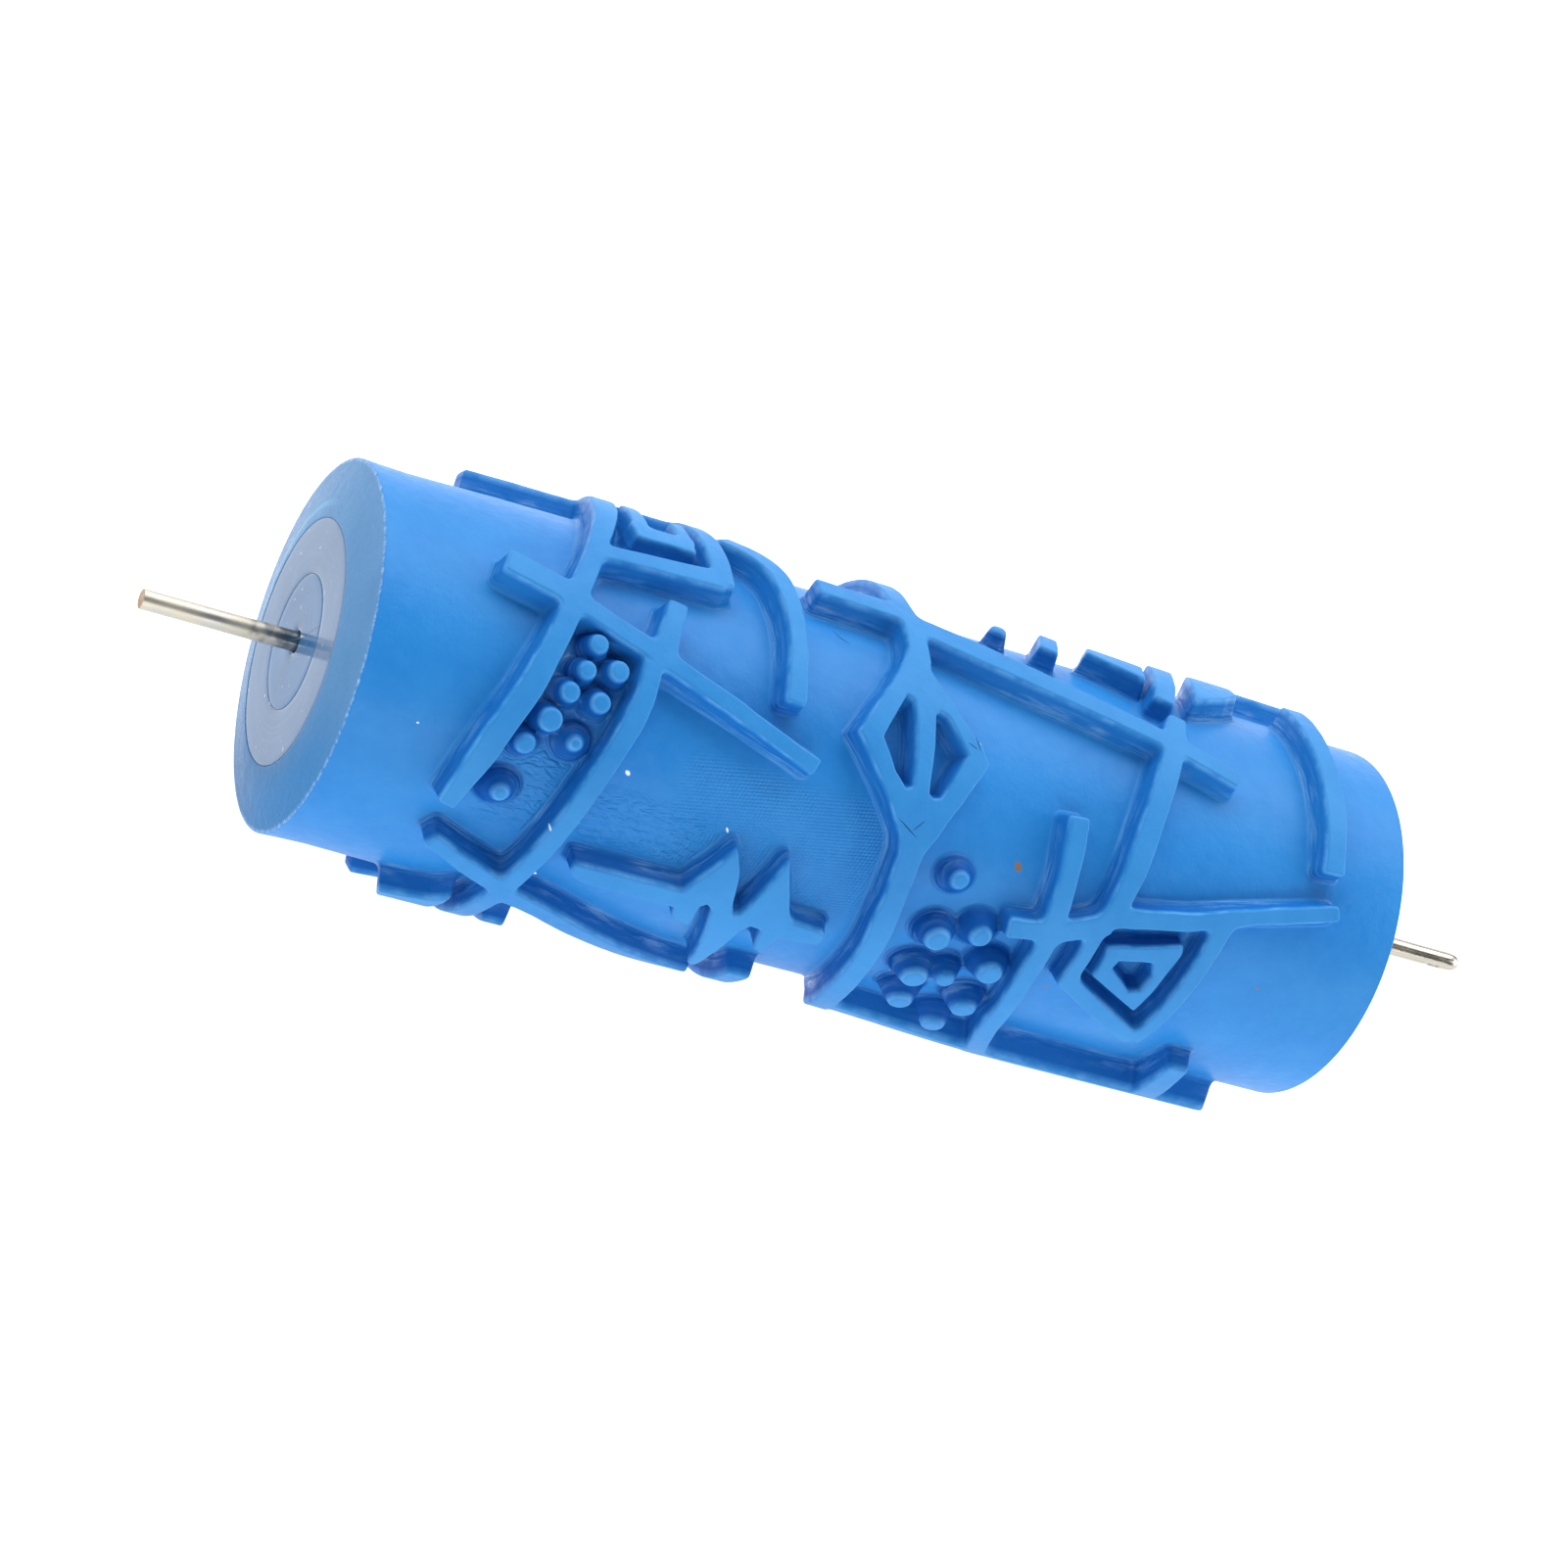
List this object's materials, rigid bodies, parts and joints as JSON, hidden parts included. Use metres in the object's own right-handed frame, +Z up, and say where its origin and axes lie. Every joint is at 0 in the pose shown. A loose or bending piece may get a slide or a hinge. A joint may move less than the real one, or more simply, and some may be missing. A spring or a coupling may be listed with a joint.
{
  "type": "textured pattern roller",
  "caption": "Patterned paint roller refill: a soft rubber sleeve with raised linear relief on a hard core, turning freely on a thin steel axle.",
  "frame": {"origin": "centre of the object's bounding box in X and Y, at its lowest point, so that it lies on z = 0", "axes": "+X along the axle towards its rounded end, +Z up with the roller lying on the two bars of its underside, -Y towards the side the picture shows"},
  "size_m": [0.2266, 0.064, 0.0638],
  "materials": {
    "sleeve_rubber": "satin, moulded, lands slightly more matt than the ground",
    "core_plastic": "extruded, matt",
    "plug_plastic": "moulded, glossy",
    "bush_plastic": "moulded, glossy",
    "axle_steel": "drawn wire, lightly tarnished"
  },
  "bodies": {
    "axle": {"axle": "axle_steel"},
    "roller": {"textured_sleeve": "sleeve_rubber", "core_tube": "core_plastic", "left_end_plug": "plug_plastic", "right_end_plug": "plug_plastic", "left_bush": "bush_plastic", "right_bush": "bush_plastic"}
  },
  "joints": [
    {"name": "roller_spin", "type": "hinge", "parent": "axle", "child": "roller", "pos_m": [0, 0, 0.03182], "axis": [1, 0, 0], "continuous": true}
  ]
}
